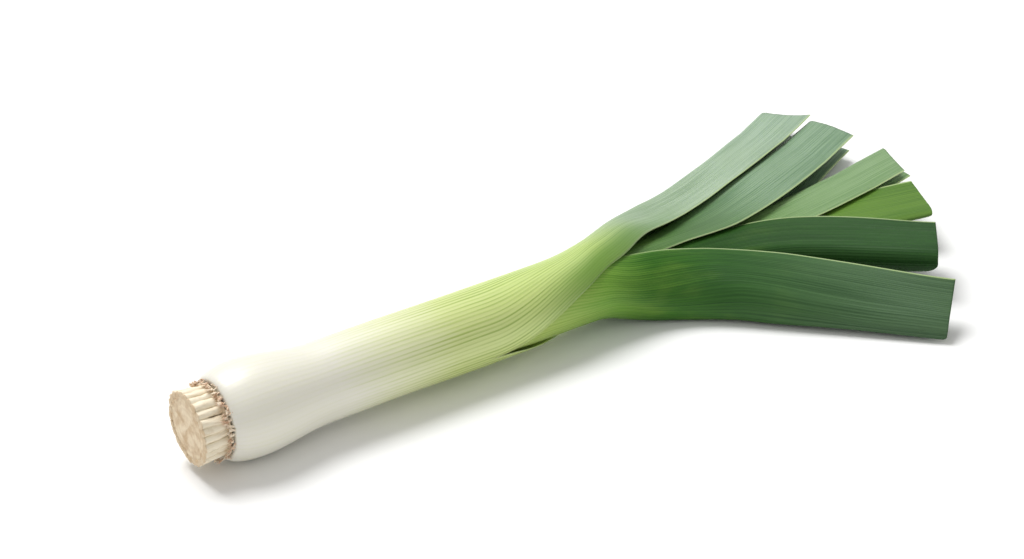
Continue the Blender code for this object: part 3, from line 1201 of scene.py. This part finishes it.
def hang(
    data: bpy.types.Light | bpy.types.Camera,
    aim: Vector,
    azimuth: float,
    elevation: float,
    distance: float,
) -> Object:
    """Place a light or a camera so that it looks at a point.

    Args:
        data: The light or the camera.
        aim: The point.
        azimuth: Degrees round the point, from -Y towards +X.
        elevation: Degrees above the level of the point.
        distance: The way to the point.

    Returns:
        The new object.
    """
    turn = math.radians(azimuth)
    rise = math.radians(elevation)
    back = Vector((math.sin(turn) * math.cos(rise), -math.cos(turn) * math.cos(rise),
                   math.sin(rise)))
    holder = bpy.data.objects.new(data.name, data)
    holder.location = aim + back * distance
    holder.rotation_mode = "QUATERNION"
    holder.rotation_quaternion = (-back).to_track_quat("-Z", "Y")
    bpy.context.scene.collection.objects.link(holder)
    return holder


@dataclass(frozen=True)
class Studio:
    """A plain white table, soft light and the camera."""

    table_size: float = 8.0
    table_colour: Colour = (0.93, 0.93, 0.925)
    ambient: float = 0.51
    camera_azimuth: float = -34.7
    camera_elevation: float = 29.95
    camera_distance: float = 1.0568
    camera_aim: Vector = Vector((0.1732, 0.0248, 0.0200))
    lens: float = 85.0
    lights: tuple[SoftLight, ...] = (
        SoftLight("key", azimuth=-170.0, elevation=63.0, distance=1.8, size=1.1, power=32.0),
        SoftLight("fill", azimuth=-20.0, elevation=45.0, distance=2.4, size=1.6, power=3.0,
                  colour=(1.0, 0.94, 0.84)),
    )

    def build(self, origin: Vector) -> None:
        """Set up the table, the lights, the surroundings and the camera."""
        aim = origin + self.camera_aim
        self._table()
        self._surroundings()
        for light in self.lights:
            light.build(aim)
        view = bpy.data.cameras.new("camera")
        view.lens = self.lens
        bpy.context.scene.camera = hang(
            view, aim, self.camera_azimuth, self.camera_elevation, self.camera_distance
        )

    def _table(self) -> None:
        """Lay the white table."""
        top = bmesh.new()
        bmesh.ops.create_grid(top, x_segments=8, y_segments=8, size=self.table_size / 2.0)
        mesh = bpy.data.meshes.new("table")
        top.to_mesh(mesh)
        top.free()
        graph = Graph("table_white")
        place, *_ = graph.object_place(Vector())
        grain = graph.grain(place, 40.0, 2.0)
        graph.set_constants(Base_Color=self.table_colour,
                            Roughness=grain.eased(0.2, 0.8, 0.75, 0.85),
                            Specular_IOR_Level=0.2)
        mesh.materials.append(graph.material)
        table = bpy.data.objects.new("table", mesh)
        bpy.context.scene.collection.objects.link(table)

    def _surroundings(self) -> None:
        """Fill the room with even white light."""
        world = bpy.data.worlds.new("studio")
        world.use_nodes = True
        light = world.node_tree.nodes["Background"]
        light.inputs["Color"].default_value = (1.0, 1.0, 1.0, 1.0)
        light.inputs["Strength"].default_value = self.ambient
        bpy.context.scene.world = world
        bpy.context.scene.view_settings.view_transform = "Standard"


# --- The whole leek ---


def root_face() -> Vector:
    """Give the middle of the root plate's cut face."""
    low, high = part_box("root_plate")
    return Vector((low.x, (low.y + high.y) / 2.0, (low.z + high.z) / 2.0))


def main() -> None:
    """Build the leek's pieces in order, then the studio."""
    logging.basicConfig(level=logging.INFO, format="%(name)s: %(message)s")
    face = root_face()
    origin = face - Vector((0.0, 0.0, Build().bulb_radius))
    cut = CutFinish("cut_flesh").make(face.x)
    pieces = [leaf.build(origin, cut) for leaf in LEAVES]
    pieces.append(RootPlate().build(face))
    pieces += RootRing().build(face)
    pieces.append(CollarScales().build(face))
    for piece in pieces:
        LOG.info("%s: %d faces", piece.name, len(piece.data.polygons))
    Studio().build(origin)


if __name__ == "__main__":
    main()
